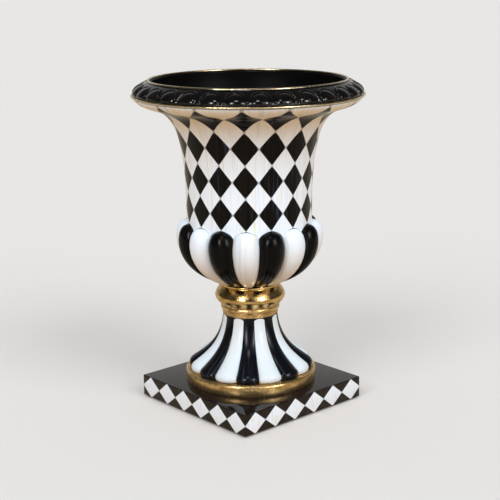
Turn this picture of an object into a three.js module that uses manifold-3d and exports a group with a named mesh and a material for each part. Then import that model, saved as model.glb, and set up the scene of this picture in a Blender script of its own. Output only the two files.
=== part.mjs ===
import * as THREE from 'three';
import { mergeVertices } from 'three/addons/utils/BufferGeometryUtils.js';
import Module from 'manifold-3d';

// Urn planter: bell-shaped bowl on a ribbed pedestal and a square plinth.
// Millimetres, +Z up, origin on the floor under the centre of the plinth.
// Curves are cubic. Their end points and pulls are pairs, [radius, height].

// Fits
const seatGap = 0.3;
const lipGap = 0.7;
const beadGap = 0.4;

// Feet, plinth and its board
const footHeight = 3;
const footRadius = 14;
const footInset = 47;
const plinthSide = 300;
const plinthHeight = 41;
const plinthWall = 5;
const plinthTopThickness = 6;
const postSide = 30;
const boardThickness = 6;
const weepHoleRadius = 5;
const weepHoleCircle = 62;
const weepHoleCount = 4;

// Board screws
const screwHeadRadius = 4.6;
const screwHeadHeight = 2.5;
const screwHeadEdge = 0.8;
const screwShankRadius = 2;
const screwLength = 23;
const screwClearance = 0.4;
const screwHeadRecess = 3.1;

// Ribbed pedestal
const ribCount = 16;
const ribDepth = 8;
const ribTopDepth = 0.7;
const pedestalWall = 3;
const pedestalHeight = 108.8;
const pedestalTopRadius = 52.2;
const pedestalTopBore = 40;
const waistPull = [6, -57.2];
const skirtPull = [-26.5, 18.7];
const ribToeRadius = 114;
const ribToePull = [7, 0.3];
const ribEndInset = 1.5;
const ribEndRise = 18.1;
const ribEndPull = [10, -7.1];
const skirtLiningReach = 0.9;

// Base ring
const ringShelfHeight = 22.6;
const ringShelfMargin = 5.6;
const ringBoreMargin = 10;
const ringGrooveWidth = 0.8;
const ringGrooveDepth = 0.6;
const ringLipCrown = 0.3;
const ringCrownInset = 3.7;
const ringLipWidth = 6.5;
const ringLipDrop = 5.6;
const ringFootTuck = 2.7;
const ringFootPull = [2, 3];
const ringSidePull = [0.9, -8];
const ringLipPull = [0, 3.6];
const ringCrownPull = [2.4, 0];

// Collar
const beadRingHeight = 17.2;
const beadRingWall = 8;
const flangeStandOut = 1.2;
const flangeHeight = 7;
const beadStep = 0.3;
const beadLowerPull = [4, 1.8];
const beadUpperPull = [2.2, -2.6];
const beadTopInset = 0.8;
const knopHeight = 43.5;
const knopNeckMargin = 3.6;
const knopStandOut = 11.4;
const knopWidestRise = 18;
const knopLowerPull = [4, 4.3];
const knopWidestPull = [0, 6];
const knopUpperPull = [4.2, -4.2];
const knopTopBand = 6.4;
const knopTopOut = 1;
const knopTopNeck = 1.8;
const knopFilletWidth = 2;
const knopEdge = 1;
const knopWall = 8;

// Lobed lower bowl
const bowlWall = 3;
const bowlFloorThickness = 5;
const rodHoleRadius = 7;
const neckRadius = 118.6;
const lobeCount = 16;
const lobeDepth = 14.6;
const lobeStandOut = 20.7;
const lobeWidestRise = 88.5;
const lobeTopRise = 31.7;
const lobeArchDrop = 12.5;
const lobeTopPull = 14.5;
const lobeShoulderPull = 18;
const lobeSidePull = 46;
const lobeToePull = [38.8, 9.8];
const lobeToeInset = 2;
const lobeFloorInset = 6;
const lobeFadeWidth = 10;
const lobeLiningReach = 0.28;
const archSidePull = 8;
const archTopPull = 6;
const lobeFullness = 0.75;

// Bell
const bellJointRise = 5;
const bellStartRise = 27.8;
const bellHeight = 203.7;
const bellWaistPull = 228.7;
const bellFlare = 93.4;
const bellFlarePull = [-28.7, -38.2];

// Rim
const edgeBeadRadius = 2.4;
const outerBeadRise = 5;
const innerBeadInset = 0.9;
const tongueCount = 30;
const tongueDepth = 4.6;
const tongueFootOut = 1.2;
const tongueFootPull = [7.2, 0.8];
const ovoloWidth = 26;
const ovoloHeight = 24.8;
const tongueTopPull = [20.3, -3.1];
const ledgeDrop = 2.8;
const throatEdge = 0.5;
const throatDrop = 1.8;
const throatUpperPull = [-0.5, -15];
const throatLowerPull = [10, 13.5];
const rimToeFraction = 0.625;

// Tie rod and its fixings
const rodRadius = 6;
const rodTopReach = 20;
const rodBottomReach = 18;
const nutAcrossCorners = 21.6;
const nutHeight = 10;
const nutBoreClearance = 0.3;
const washerRadius = 18;
const washerThickness = 2.5;
const sealThickness = 2;
const sealMargin = 2;

// Drain plug
const drainAngle = (3 / 4) * Math.PI;
const drainHoleRadius = 8;
const drainMargin = 2;
const plugClearance = 0.5;
const plugHeadMargin = 3.5;
const plugHeadHeight = 4;
const plugEdge = 1;
const plugTabRadius = 4;
const plugTabHeight = 6;

// How finely round forms are divided
const lobeSteps = 6;
const ribSteps = 4;
const tongueSteps = 4;
const beadSides = 60;
const ringSides = 48;
const collarSides = 40;
const smallSides = 16;
const screwSides = 12;
const beadSectionSides = 6;
const nutSides = 6;

// How finely curved profiles are divided
const ringSideSteps = 3;
const smallCurveSteps = 4;
const ribToePoints = 4;
const ribFlankPoints = 8;
const skirtLiningPoints = 4;
const lobeUnderPoints = 10;
const lobeShoulderPoints = 6;
const lobeLiningPoints = 5;
const bellPoints = 10;
const bellLiningPoints = 9;
const tonguePoints = 6;
const rimUndersidePoints = 4;
const throatSteps = 3;

// Allowances for joining and cutting solids
const weldDistance = 1e-4;
const cutOverlap = 1;
const postOverlap = 3;

// Heights that follow from the stack of pieces
const fullTurn = 2 * Math.PI;
const plinthBottom = footHeight;
const plinthTop = plinthBottom + plinthHeight;
const ringBottom = plinthTop + seatGap;
const shelfHeight = plinthTop + ringShelfHeight;
const pedestalBottom = shelfHeight + seatGap;
const pedestalTop = pedestalBottom + pedestalHeight;
const beadRingBottom = pedestalTop + seatGap;
const beadRingTop = beadRingBottom + beadRingHeight;
const knopBottom = beadRingTop + seatGap;
const knopTop = knopBottom + knopHeight;
const bowlSeat = knopTop + seatGap;
const bowlFloor = bowlSeat + bowlFloorThickness;
const lobeWidestHeight = bowlSeat + lobeWidestRise;
const lobeTopHeight = lobeWidestHeight + lobeTopRise;
const jointHeight = lobeTopHeight + bellJointRise;
const bellStartHeight = lobeTopHeight + bellStartRise;
const lipHeight = bellStartHeight + bellHeight;

// Radii that follow from their neighbours
const ringShelfRadius = ribToeRadius + ringShelfMargin;
const ringBoreRadius = ribToeRadius - ringBoreMargin;
const ringEdgeRadius = ringShelfRadius + ringLipWidth;
const knopNeckRadius = pedestalTopRadius + knopNeckMargin;
const knopFilletRadius = knopNeckRadius + knopFilletWidth;
const knopBore = knopNeckRadius - knopWall;
const lobeRadius = neckRadius + lobeStandOut;
const lobeToeRadius = knopFilletRadius - lobeToeInset;
const lipRadius = neckRadius + bellFlare;
const outerBeadRadius = lipRadius + edgeBeadRadius;
const drainCircle = knopBore - drainHoleRadius - drainMargin;
const nutBoreRadius = rodRadius + nutBoreClearance;
const screwHoleRadius = screwShankRadius + screwClearance;
const screwRecessRadius = screwHeadRadius + screwClearance;

const ivory = { color: 0xe9e8e4, roughness: 0.3, metalness: 0 };
const blackEnamel = { color: 0x100e0d, roughness: 0.12, metalness: 0 };
const gold = { color: 0xc99a4a, roughness: 0.2, metalness: 1 };
const rubber = { color: 0x1a1a1a, roughness: 0.8, metalness: 0 };
const zincSteel = { color: 0x9a9c9e, roughness: 0.35, metalness: 1 };
const board = { color: 0x3b2f26, roughness: 0.75, metalness: 0 };

const wasm = await Module();
wasm.setup();

const urn = new THREE.Group();

function addPiece(name, geometry, look) {
  const mesh = new THREE.Mesh(geometry, new THREE.MeshStandardMaterial(look));
  mesh.name = name;
  urn.add(mesh);
  return mesh;
}

function solidOf(geometry) {
  const bare = geometry.clone();
  bare.deleteAttribute('normal');
  bare.deleteAttribute('uv');
  const merged = mergeVertices(bare, weldDistance);
  const mesh = new wasm.Mesh({
    numProp: 3,
    vertProperties: new Float32Array(merged.attributes.position.array),
    triVerts: new Uint32Array(merged.index.array),
  });
  return new wasm.Manifold(mesh);
}

function geometryOf(solid) {
  const mesh = solid.getMesh();
  const geometry = new THREE.BufferGeometry();
  geometry.setAttribute('position', new THREE.BufferAttribute(mesh.vertProperties, 3));
  geometry.setIndex(new THREE.BufferAttribute(mesh.triVerts, 1));
  geometry.computeVertexNormals();
  return geometry;
}

// Each pull is measured from its own end point.
function cubic(from, fromPull, toPull, to) {
  const point = ([r, z], [pullR, pullZ]) => new THREE.Vector2(r + pullR, z + pullZ);
  const still = [0, 0];
  return new THREE.CubicBezierCurve(
    point(from, still), point(from, fromPull), point(to, toPull), point(to, still),
  );
}

// A point that lies `inward` to the left of the curve's travel.
function offsetPoint(curve, position, inward) {
  const point = curve.getPoint(position);
  const along = curve.getTangent(position);
  return [point.x - along.y * inward, point.y + along.x * inward];
}

function profileOf(curve, steps) {
  return curve.getPoints(steps).map((p) => [p.x, p.y]);
}

function spread(count, first, last) {
  return Array.from({ length: count }, (_, k) => first + ((last - first) * k) / (count - 1));
}

function ringOf(sides, pointAt) {
  return Array.from({ length: sides }, (_, i) => {
    const angle = (fullTurn * i) / sides;
    const [r, z] = pointAt(angle);
    return new THREE.Vector3(r * Math.cos(angle), r * Math.sin(angle), z);
  });
}

// Joins closed rings of points, each to the next and the last to the first.
// A ring may have half or twice the points of its neighbour.
function bodyOfRings(rings) {
  const vertices = [];
  const starts = rings.map((ring) => {
    const start = vertices.length / 3;
    ring.forEach((p) => vertices.push(p.x, p.y, p.z));
    return start;
  });
  const faces = [];
  rings.forEach((ring, k) => {
    const nextK = (k + 1) % rings.length;
    const next = rings[nextK];
    const here = (i) => starts[k] + (i % ring.length);
    const there = (i) => starts[nextK] + (i % next.length);
    const cells = Math.min(ring.length, next.length);
    for (let i = 0; i < cells; i += 1) {
      if (ring.length === next.length) {
        faces.push(here(i), here(i + 1), there(i + 1));
        faces.push(here(i), there(i + 1), there(i));
      } else if (ring.length > next.length) {
        faces.push(here(2 * i), here(2 * i + 1), there(i));
        faces.push(here(2 * i + 1), there(i + 1), there(i));
        faces.push(here(2 * i + 1), here(2 * i + 2), there(i + 1));
      } else {
        faces.push(here(i), here(i + 1), there(2 * i + 1));
        faces.push(here(i), there(2 * i + 1), there(2 * i));
        faces.push(here(i + 1), there(2 * i + 2), there(2 * i + 1));
      }
    }
  });
  const geometry = new THREE.BufferGeometry();
  geometry.setAttribute('position', new THREE.Float32BufferAttribute(vertices, 3));
  geometry.setIndex(faces);
  geometry.computeVertexNormals();
  return geometry;
}

function turned(profile, sides) {
  const points = profile.map(([r, z]) => new THREE.Vector2(r, z));
  return new THREE.LatheGeometry(points, sides).rotateX(Math.PI / 2);
}

function turnedLoop(profile, sides) {
  return turned([...profile, profile[0]], sides);
}

function upright(radius, bottom, top, sides) {
  const cylinder = new THREE.CylinderGeometry(radius, radius, top - bottom, sides);
  return cylinder.rotateX(Math.PI / 2).translate(0, 0, (bottom + top) / 2);
}

function block(width, depth, bottom, top) {
  const box = new THREE.BoxGeometry(width, depth, top - bottom);
  return box.translate(0, 0, (bottom + top) / 2);
}

// Position across one of `count` equal reliefs: 0 on the crest, 1 in the valley.
function acrossRelief(angle, count) {
  const turn = (angle * count) / fullTurn;
  return 2 * Math.abs(turn - Math.round(turn));
}

// A round-backed cross-section that falls steeply into its valley.
function roundBack(across) {
  return Math.max(0, 1 - across * across) ** lobeFullness;
}

function mix(valley, crest, share) {
  return valley.map((value, k) => value + (crest[k] - value) * share);
}

function reliefRing(sides, count, crest, valley) {
  return ringOf(sides, (angle) => mix(valley, crest, roundBack(acrossRelief(angle, count))));
}

function plainRing(sides, point) {
  return ringOf(sides, () => point);
}

function makePlinth() {
  const half = plinthSide / 2;
  const cavitySide = plinthSide - 2 * plinthWall;
  const cavityTop = plinthTop - plinthTopThickness;
  const through = plinthHeight;
  let shell = solidOf(block(plinthSide, plinthSide, plinthBottom, plinthTop));
  shell = shell.subtract(solidOf(block(cavitySide, cavitySide, plinthBottom - through, cavityTop)));
  const postCentre = half - plinthWall - postSide / 2;
  const postBottom = plinthBottom + boardThickness + seatGap;
  const postWidth = postSide + postOverlap;
  corners(postCentre).forEach(([x, y]) => {
    const post = block(postWidth, postWidth, postBottom, cavityTop + cutOverlap);
    const pilot = upright(screwHoleRadius, postBottom - through, postBottom + screwLength, screwSides);
    const outward = [x, y].map((value) => value + (Math.sign(value) * postOverlap) / 2);
    shell = shell.add(solidOf(post.translate(...outward, 0)));
    shell = shell.subtract(solidOf(pilot.translate(x, y, 0)));
  });
  const holeBottom = cavityTop - cutOverlap;
  const rodHole = upright(rodHoleRadius, holeBottom, plinthTop + through, smallSides);
  shell = shell.subtract(solidOf(rodHole));
  weepHoles(holeBottom, plinthTop + through).forEach((hole) => {
    shell = shell.subtract(hole);
  });
  addPiece('plinth_shell', geometryOf(shell), blackEnamel);

  const boardSide = cavitySide - 2 * seatGap;
  let panel = solidOf(block(boardSide, boardSide, plinthBottom, plinthBottom + boardThickness));
  weepHoles(plinthBottom - through, plinthTop).forEach((hole) => {
    panel = panel.subtract(hole);
  });
  corners(postCentre).forEach(([x, y]) => {
    const shankHole = upright(screwHoleRadius, plinthBottom - through, plinthTop, screwSides);
    const recessTop = plinthBottom + screwHeadRecess;
    const recess = upright(screwRecessRadius, plinthBottom - through, recessTop, screwSides);
    panel = panel.subtract(solidOf(shankHole.translate(x, y, 0)));
    panel = panel.subtract(solidOf(recess.translate(x, y, 0)));
  });
  addPiece('plinth_baseboard', geometryOf(panel), board);

  corners(postCentre).forEach(([x, y], k) => {
    const screw = addPiece(`baseboard_screw_${k + 1}`, screwGeometry(), zincSteel);
    screw.position.set(x, y, plinthBottom + seatGap);
  });
  corners(half - footInset).forEach(([x, y], k) => {
    const pad = turned(footProfile(), smallSides);
    addPiece(`foot_pad_${k + 1}`, pad, rubber).position.set(x, y, 0);
  });
}

function corners(offset) {
  return [[offset, offset], [-offset, offset], [-offset, -offset], [offset, -offset]];
}

function weepHoles(bottom, top) {
  return Array.from({ length: weepHoleCount }, (_, k) => {
    const angle = (fullTurn * k) / weepHoleCount;
    const hole = upright(weepHoleRadius, bottom, top, smallSides);
    const centre = [weepHoleCircle * Math.cos(angle), weepHoleCircle * Math.sin(angle)];
    return solidOf(hole.translate(centre[0], centre[1], 0));
  });
}

function screwGeometry() {
  return turned([
    [0, 0],
    [screwHeadRadius, 0],
    [screwHeadRadius, screwHeadEdge],
    [screwShankRadius, screwHeadHeight],
    [screwShankRadius, screwLength - screwShankRadius],
    [0, screwLength],
  ], screwSides);
}

function footProfile() {
  const top = footHeight - seatGap;
  return [[0, 0], [footRadius, 0], [footRadius, top], [0, top]];
}

function makeBaseRing() {
  const edge = [ringEdgeRadius, shelfHeight - ringLipDrop];
  const crown = [ringEdgeRadius - ringCrownInset, shelfHeight + ringLipCrown];
  const side = cubic([ringEdgeRadius - ringFootTuck, ringBottom], ringFootPull, ringSidePull, edge);
  const lip = cubic(edge, ringLipPull, ringCrownPull, crown);
  const profile = [
    ...profileOf(side, ringSideSteps),
    ...profileOf(lip, smallCurveSteps).slice(1),
    [ringShelfRadius + ringGrooveWidth, shelfHeight - ringGrooveDepth],
    [ringShelfRadius, shelfHeight],
    [ringBoreRadius, shelfHeight],
    [ringBoreRadius, ringBottom],
  ];
  addPiece('base_ring', turnedLoop(profile, ringSides), gold);
}

// Ribs deepen evenly from the waist to the toe.
function ribReach(radius) {
  const share = (radius - pedestalTopRadius) / (ribToeRadius - pedestalTopRadius);
  return ribTopDepth + (ribDepth - ribTopDepth) * share;
}

function makePedestal() {
  const ribEnd = [ribToeRadius - ribEndInset, pedestalBottom + ribEndRise];
  const toe = cubic([ribToeRadius, pedestalBottom], ribToePull, ribEndPull, ribEnd);
  const flank = cubic(ribEnd, skirtPull, waistPull, [pedestalTopRadius, pedestalTop]);
  const ribSides = ribCount * ribSteps;
  const plainSides = ribSides / 2;
  const rings = [
    reliefRing(
      ribSides, ribCount, [ribToeRadius, pedestalBottom], [ribToeRadius - ribDepth / 2, pedestalBottom],
    ),
  ];
  const addRib = (curve, position) => {
    const crest = curve.getPoint(position);
    const valley = offsetPoint(curve, position, ribReach(crest.x));
    rings.push(reliefRing(ribSides, ribCount, [crest.x, crest.y], valley));
  };
  spread(ribToePoints, 0, 1).slice(1).forEach((position) => addRib(toe, position));
  spread(ribFlankPoints, 0, 1).slice(1, -1).forEach((position) => addRib(flank, position));
  const topValley = [pedestalTopRadius - ribTopDepth, pedestalTop];
  rings.push(reliefRing(ribSides, ribCount, [pedestalTopRadius, pedestalTop], topValley));

  rings.push(plainRing(plainSides, [pedestalTopBore, pedestalTop]));
  rings.push(plainRing(plainSides, [pedestalTopBore, pedestalTop - pedestalWall]));
  spread(skirtLiningPoints, skirtLiningReach, 0).forEach((position) => {
    const reach = ribReach(flank.getPoint(position).x) + pedestalWall;
    rings.push(plainRing(plainSides, offsetPoint(flank, position, reach)));
  });
  const boreRadius = ribToeRadius - ribDepth - pedestalWall;
  rings.push(plainRing(plainSides, [boreRadius, pedestalBottom]));
  addPiece('pedestal_shell', bodyOfRings(rings), ivory);
}

function makeCollar() {
  const flangeRadius = pedestalTopRadius + flangeStandOut;
  const flangeTop = beadRingBottom + flangeHeight;
  const boreRadius = flangeRadius - beadRingWall;
  const bead = cubic(
    [flangeRadius - beadStep, flangeTop], beadLowerPull,
    beadUpperPull, [knopNeckRadius - beadTopInset, beadRingTop],
  );
  addPiece('collar_bead_ring', turnedLoop([
    [flangeRadius, beadRingBottom],
    [flangeRadius, flangeTop],
    ...profileOf(bead, smallCurveSteps),
    [boreRadius, beadRingTop],
    [boreRadius, beadRingBottom],
  ], collarSides), gold);

  const widest = [knopNeckRadius + knopStandOut, knopBottom + knopWidestRise];
  const rollTop = knopTop - knopTopBand;
  const lower = cubic(
    [knopNeckRadius, knopBottom], knopLowerPull, [0, -knopWidestPull[1]], widest,
  );
  const upper = cubic(
    widest, knopWidestPull, knopUpperPull, [knopNeckRadius + knopTopOut, rollTop],
  );
  addPiece('collar_knop', turnedLoop([
    ...profileOf(lower, smallCurveSteps),
    ...profileOf(upper, smallCurveSteps).slice(1),
    [knopNeckRadius, rollTop + knopTopNeck],
    [knopFilletRadius, rollTop + knopTopNeck + knopEdge],
    [knopFilletRadius, knopTop - knopEdge],
    [knopFilletRadius - knopEdge, knopTop],
    [knopBore, knopTop],
    [knopBore, knopBottom],
  ], collarSides), gold);
}

// Valleys between lobes shallow out towards the collar.
function lobeReach(radius) {
  const fade = Math.min(1, Math.max(0, (radius - lobeToeRadius) / lobeFadeWidth));
  return (lobeDepth * radius * fade) / lobeRadius;
}

function makeLobedBowl() {
  const widest = [lobeRadius, lobeWidestHeight];
  const under = cubic([lobeToeRadius, bowlSeat], lobeToePull, [0, -lobeSidePull], widest);
  const shoulder = cubic(
    widest, [0, lobeShoulderPull], [lobeTopPull, 0], [neckRadius, lobeTopHeight],
  );
  const archValley = cubic(
    [lobeRadius - lobeDepth, lobeWidestHeight],
    [0, archSidePull],
    [0, -archTopPull],
    [neckRadius, lobeTopHeight - lobeArchDrop],
  );
  const lobeSides = lobeCount * lobeSteps;
  const plainSides = lobeSides / 2;

  const rings = [plainRing(plainSides, [rodHoleRadius, bowlSeat])];
  spread(lobeUnderPoints, 0, 1).forEach((position) => {
    const crest = under.getPoint(position);
    const valley = offsetPoint(under, position, lobeReach(crest.x));
    rings.push(reliefRing(lobeSides, lobeCount, [crest.x, crest.y], valley));
  });
  spread(lobeShoulderPoints, 0, 1).slice(1).forEach((position) => {
    const crest = shoulder.getPoint(position);
    const valley = archValley.getPoint(position);
    rings.push(reliefRing(lobeSides, lobeCount, [crest.x, crest.y], [valley.x, valley.y]));
  });
  rings.push(plainRing(plainSides, [neckRadius, jointHeight]));
  rings.push(plainRing(plainSides, [neckRadius - bowlWall, jointHeight]));
  rings.push(plainRing(plainSides, [neckRadius - bowlWall, lobeTopHeight - lobeArchDrop]));
  spread(lobeLiningPoints, 1, lobeLiningReach).forEach((position) => {
    const reach = lobeReach(under.getPoint(position).x) + bowlWall;
    rings.push(plainRing(plainSides, offsetPoint(under, position, reach)));
  });
  rings.push(plainRing(plainSides, [knopFilletRadius - lobeFloorInset, bowlFloor]));
  rings.push(plainRing(plainSides, [rodHoleRadius, bowlFloor]));

  const drainHole = upright(drainHoleRadius, knopBottom, lobeWidestHeight, smallSides);
  drainHole.translate(drainCircle * Math.cos(drainAngle), drainCircle * Math.sin(drainAngle), 0);
  const shell = solidOf(bodyOfRings(rings)).subtract(solidOf(drainHole));
  addPiece('bowl_belly', geometryOf(shell), ivory);
}

function makeBell() {
  const bell = cubic(
    [neckRadius, bellStartHeight], [0, bellWaistPull], bellFlarePull, [lipRadius, lipHeight],
  );
  const sides = (lobeCount * lobeSteps) / 2;
  const start = jointHeight + seatGap;
  const rings = [plainRing(sides, [neckRadius, start])];
  spread(bellPoints, 0, 1).forEach((position) => {
    const point = bell.getPoint(position);
    rings.push(plainRing(sides, [point.x, point.y]));
  });
  spread(bellLiningPoints, 1, 0).forEach((position) => {
    rings.push(plainRing(sides, offsetPoint(bell, position, bowlWall)));
  });
  rings.push(plainRing(sides, [neckRadius - bowlWall, start]));
  addPiece('bowl_bell', bodyOfRings(rings), ivory);
  return bell;
}

function makeRim(bell) {
  const sides = tongueCount * tongueSteps;
  const outerBeadHeight = lipHeight + outerBeadRise;
  const foot = [lipRadius + tongueFootOut, outerBeadHeight + edgeBeadRadius + beadGap];
  const top = [foot[0] - ovoloWidth, foot[1] + ovoloHeight];
  const ovolo = cubic(foot, tongueFootPull, tongueTopPull, top);
  const rings = spread(tonguePoints, 0, 1).map((position) => {
    const crest = ovolo.getPoint(position);
    const depth = tongueDepth * Math.sin(Math.PI * position) ** lobeFullness;
    return reliefRing(
      sides, tongueCount, [crest.x, crest.y], offsetPoint(ovolo, position, depth),
    );
  });

  const innerBeadRadius = top[0] - innerBeadInset - edgeBeadRadius;
  const ledgeHeight = top[1] - ledgeDrop;
  const throatRadius = innerBeadRadius - edgeBeadRadius - throatEdge;
  const underside = spread(rimUndersidePoints, rimToeFraction, 1).map((position) => (
    offsetPoint(bell, position, bowlWall + lipGap)
  ));
  const throatTop = [throatRadius, ledgeHeight - throatDrop];
  const throat = cubic(throatTop, throatUpperPull, throatLowerPull, underside[0]);
  const half = sides / 2;
  rings.push(plainRing(half, [top[0], ledgeHeight]));
  rings.push(plainRing(half, [throatRadius, ledgeHeight]));
  throat.getPoints(throatSteps).forEach((p) => rings.push(plainRing(half, [p.x, p.y])));
  underside.slice(1).forEach((point) => rings.push(plainRing(half, point)));
  addPiece('rim_moulding', bodyOfRings(rings), blackEnamel);

  const beads = [
    ['rim_outer_bead', outerBeadRadius, outerBeadHeight],
    ['rim_inner_bead', innerBeadRadius, ledgeHeight + beadGap + edgeBeadRadius],
  ];
  beads.forEach(([name, radius, height]) => {
    const bead = new THREE.TorusGeometry(radius, edgeBeadRadius, beadSectionSides, beadSides);
    addPiece(name, bead, gold).position.z = height;
  });
}

function washerGeometry(radius, thickness) {
  return turnedLoop([
    [nutBoreRadius, 0],
    [radius, 0],
    [radius, thickness],
    [nutBoreRadius, thickness],
  ], smallSides);
}

function nutGeometry() {
  const outline = new THREE.Shape();
  spread(nutSides + 1, 0, fullTurn).slice(1).forEach((angle, k) => {
    const x = (nutAcrossCorners / 2) * Math.cos(angle);
    const y = (nutAcrossCorners / 2) * Math.sin(angle);
    if (k === 0) {
      outline.moveTo(x, y);
    } else {
      outline.lineTo(x, y);
    }
  });
  outline.closePath();
  const bore = new THREE.Path();
  bore.absarc(0, 0, nutBoreRadius, 0, fullTurn, true);
  outline.holes.push(bore);
  return new THREE.ExtrudeGeometry(outline, {
    depth: nutHeight, bevelEnabled: false, curveSegments: smallSides,
  });
}

function makeFixings() {
  const sealBottom = bowlFloor + seatGap;
  const washerBottom = sealBottom + sealThickness + seatGap;
  const topNutBottom = washerBottom + washerThickness + seatGap;
  const lowWasherTop = plinthTop - plinthTopThickness - seatGap;
  const lowNutTop = lowWasherTop - washerThickness - seatGap;
  const rod = upright(rodRadius, lowNutTop - rodBottomReach, washerBottom + rodTopReach, smallSides);
  addPiece('tie_rod', rod, zincSteel);
  const seal = washerGeometry(washerRadius + sealMargin, sealThickness);
  addPiece('sealing_washer', seal, rubber).position.z = sealBottom;
  const topWasher = washerGeometry(washerRadius, washerThickness);
  addPiece('top_washer', topWasher, zincSteel).position.z = washerBottom;
  addPiece('rod_top_nut', nutGeometry(), zincSteel).position.z = topNutBottom;
  const lowWasher = washerGeometry(washerRadius, washerThickness);
  addPiece('bottom_washer', lowWasher, zincSteel).position.z = lowWasherTop - washerThickness;
  addPiece('rod_bottom_nut', nutGeometry(), zincSteel).position.z = lowNutTop - nutHeight;
}

function makeDrainPlug() {
  const stemRadius = drainHoleRadius - plugClearance;
  const headRadius = stemRadius + plugHeadMargin;
  const headTop = seatGap + plugHeadHeight;
  const stemBottom = plugEdge - bowlFloorThickness;
  const plug = addPiece('drain_plug', turned([
    [0, stemBottom],
    [stemRadius - plugEdge, stemBottom],
    [stemRadius, seatGap],
    [headRadius, seatGap],
    [headRadius, headTop - plugEdge],
    [headRadius - plugEdge, headTop],
    [plugTabRadius, headTop],
    [plugTabRadius, headTop + plugTabHeight - plugEdge],
    [plugTabRadius - plugEdge, headTop + plugTabHeight],
    [0, headTop + plugTabHeight],
  ], smallSides), rubber);
  const x = drainCircle * Math.cos(drainAngle);
  const y = drainCircle * Math.sin(drainAngle);
  plug.position.set(x, y, bowlFloor);
}

makePlinth();
makeBaseRing();
makePedestal();
makeCollar();
makeLobedBowl();
makeRim(makeBell());
makeFixings();
makeDrainPlug();

export default urn;
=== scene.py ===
import math
import bpy
import bmesh
import numpy as np
from mathutils import Matrix, Vector


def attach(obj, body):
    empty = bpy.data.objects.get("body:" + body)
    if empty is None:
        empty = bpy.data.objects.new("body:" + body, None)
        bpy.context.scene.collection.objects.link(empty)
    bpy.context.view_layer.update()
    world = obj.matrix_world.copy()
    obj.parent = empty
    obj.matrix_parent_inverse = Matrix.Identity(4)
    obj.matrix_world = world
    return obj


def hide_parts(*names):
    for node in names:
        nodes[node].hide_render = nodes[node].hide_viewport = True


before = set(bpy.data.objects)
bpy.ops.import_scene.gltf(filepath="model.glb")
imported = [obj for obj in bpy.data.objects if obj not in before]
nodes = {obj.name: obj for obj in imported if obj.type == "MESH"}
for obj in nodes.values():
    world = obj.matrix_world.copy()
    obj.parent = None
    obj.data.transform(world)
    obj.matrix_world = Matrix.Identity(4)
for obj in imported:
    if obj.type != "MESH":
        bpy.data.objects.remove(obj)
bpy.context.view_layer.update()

scene = bpy.context.scene
fullTurn = 2 * math.pi
metre = 0.001  # sizes below are in millimetres, meshes in metres
weld = 0.01  # points closer than this become one
print("frame loaded:", len(nodes), "nodes")


# curves and turned surfaces

def cubic(start, startPull, endPull, end):
    # each pull is measured from its own end
    p0, p3 = np.array(start, float), np.array(end, float)
    p1, p2 = p0 + np.array(startPull, float), p3 + np.array(endPull, float)

    def at(t):
        t = np.asarray(t, float)[..., None]
        u = 1 - t
        place = u ** 3 * p0 + 3 * t * u ** 2 * p1 + 3 * t * t * u * p2 + t ** 3 * p3
        along = 3 * u ** 2 * (p1 - p0) + 6 * t * u * (p2 - p1) + 3 * t * t * (p3 - p2)
        along /= np.maximum(np.linalg.norm(along, axis=-1, keepdims=True), 1e-9)
        return place, along
    return at


def pointsOn(curve, count):
    return [tuple(p) for p in curve(np.linspace(0, 1, count))[0]]


def inside(curve, t, reach):
    # points lying `reach` to the left of the curve's travel
    place, along = curve(t)
    left = np.stack([-along[..., 1], along[..., 0]], -1)
    return place + left * np.asarray(reach, float)[..., None]


def roundBack(across, fullness):
    return np.clip(1 - across ** 2, 0, 1) ** fullness


def circleAngles(sides):
    return np.arange(sides) * fullTurn / sides


def plainRow(angles, point):
    return np.repeat(np.array(point, float)[None], len(angles), 0)


def reliefRow(crest, valley, share):
    crest, valley = np.array(crest, float), np.array(valley, float)
    return valley + (crest - valley) * share[:, None]


def meshFromRows(name, rows, angles, loop=True, around=True):
    # rows: (number of rows, points across, radius and height)
    rows = np.array(rows)
    points = np.stack([
        rows[..., 0] * np.cos(angles), rows[..., 0] * np.sin(angles), rows[..., 1]], -1)
    count, wide = rows.shape[:2]
    index = np.arange(count * wide).reshape(count, wide)
    faces = []
    for k in range(count if loop else count - 1):
        here, there = index[k], index[(k + 1) % count]
        quads = np.stack([here, np.roll(here, -1), np.roll(there, -1), there], -1)
        faces.append(quads if around else quads[:-1])
    mesh = bpy.data.meshes.new(name)
    mesh.from_pydata((points.reshape(-1, 3) * metre).tolist(), [], np.concatenate(faces).tolist())
    return mesh


def smoothFaces(piece, sharpAngle):
    for p in piece.data.polygons:
        p.use_smooth = True
    piece.data.set_sharp_from_angle(angle=math.radians(sharpAngle))


def makePiece(name, mesh, materials, sharpAngle):
    mesh.update()
    piece = bpy.data.objects.new(name, mesh)
    scene.collection.objects.link(piece)
    for m in materials:
        mesh.materials.append(m)
    smoothFaces(piece, sharpAngle)
    return piece


def turnedPiece(name, profile, sides, material, sharpAngle):
    angles = circleAngles(sides)
    rows = [plainRow(angles, p) for p in profile]
    return makePiece(name, meshFromRows(name, rows, angles), [material], sharpAngle)


def standFor(piece, slot, *replaced, body="urn"):
    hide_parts(*replaced)
    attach(piece, body)


def applyModifiers(piece):
    bpy.context.view_layer.update()
    graph = bpy.context.evaluated_depsgraph_get()
    mesh = bpy.data.meshes.new_from_object(piece.evaluated_get(graph))
    piece.modifiers.clear()
    piece.data = mesh


# node helpers, for materials and for geometry

def feed(tree, socket, value):
    if isinstance(value, bpy.types.NodeSocket):
        tree.links.new(value, socket)
    elif value is not None:
        socket.default_value = value


def calc(tree, operation, a, b=None, c=None):
    n = tree.nodes.new("ShaderNodeMath")
    n.operation = operation
    for socket, value in zip(n.inputs, (a, b, c)):
        feed(tree, socket, value)
    return n.outputs[0]


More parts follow.
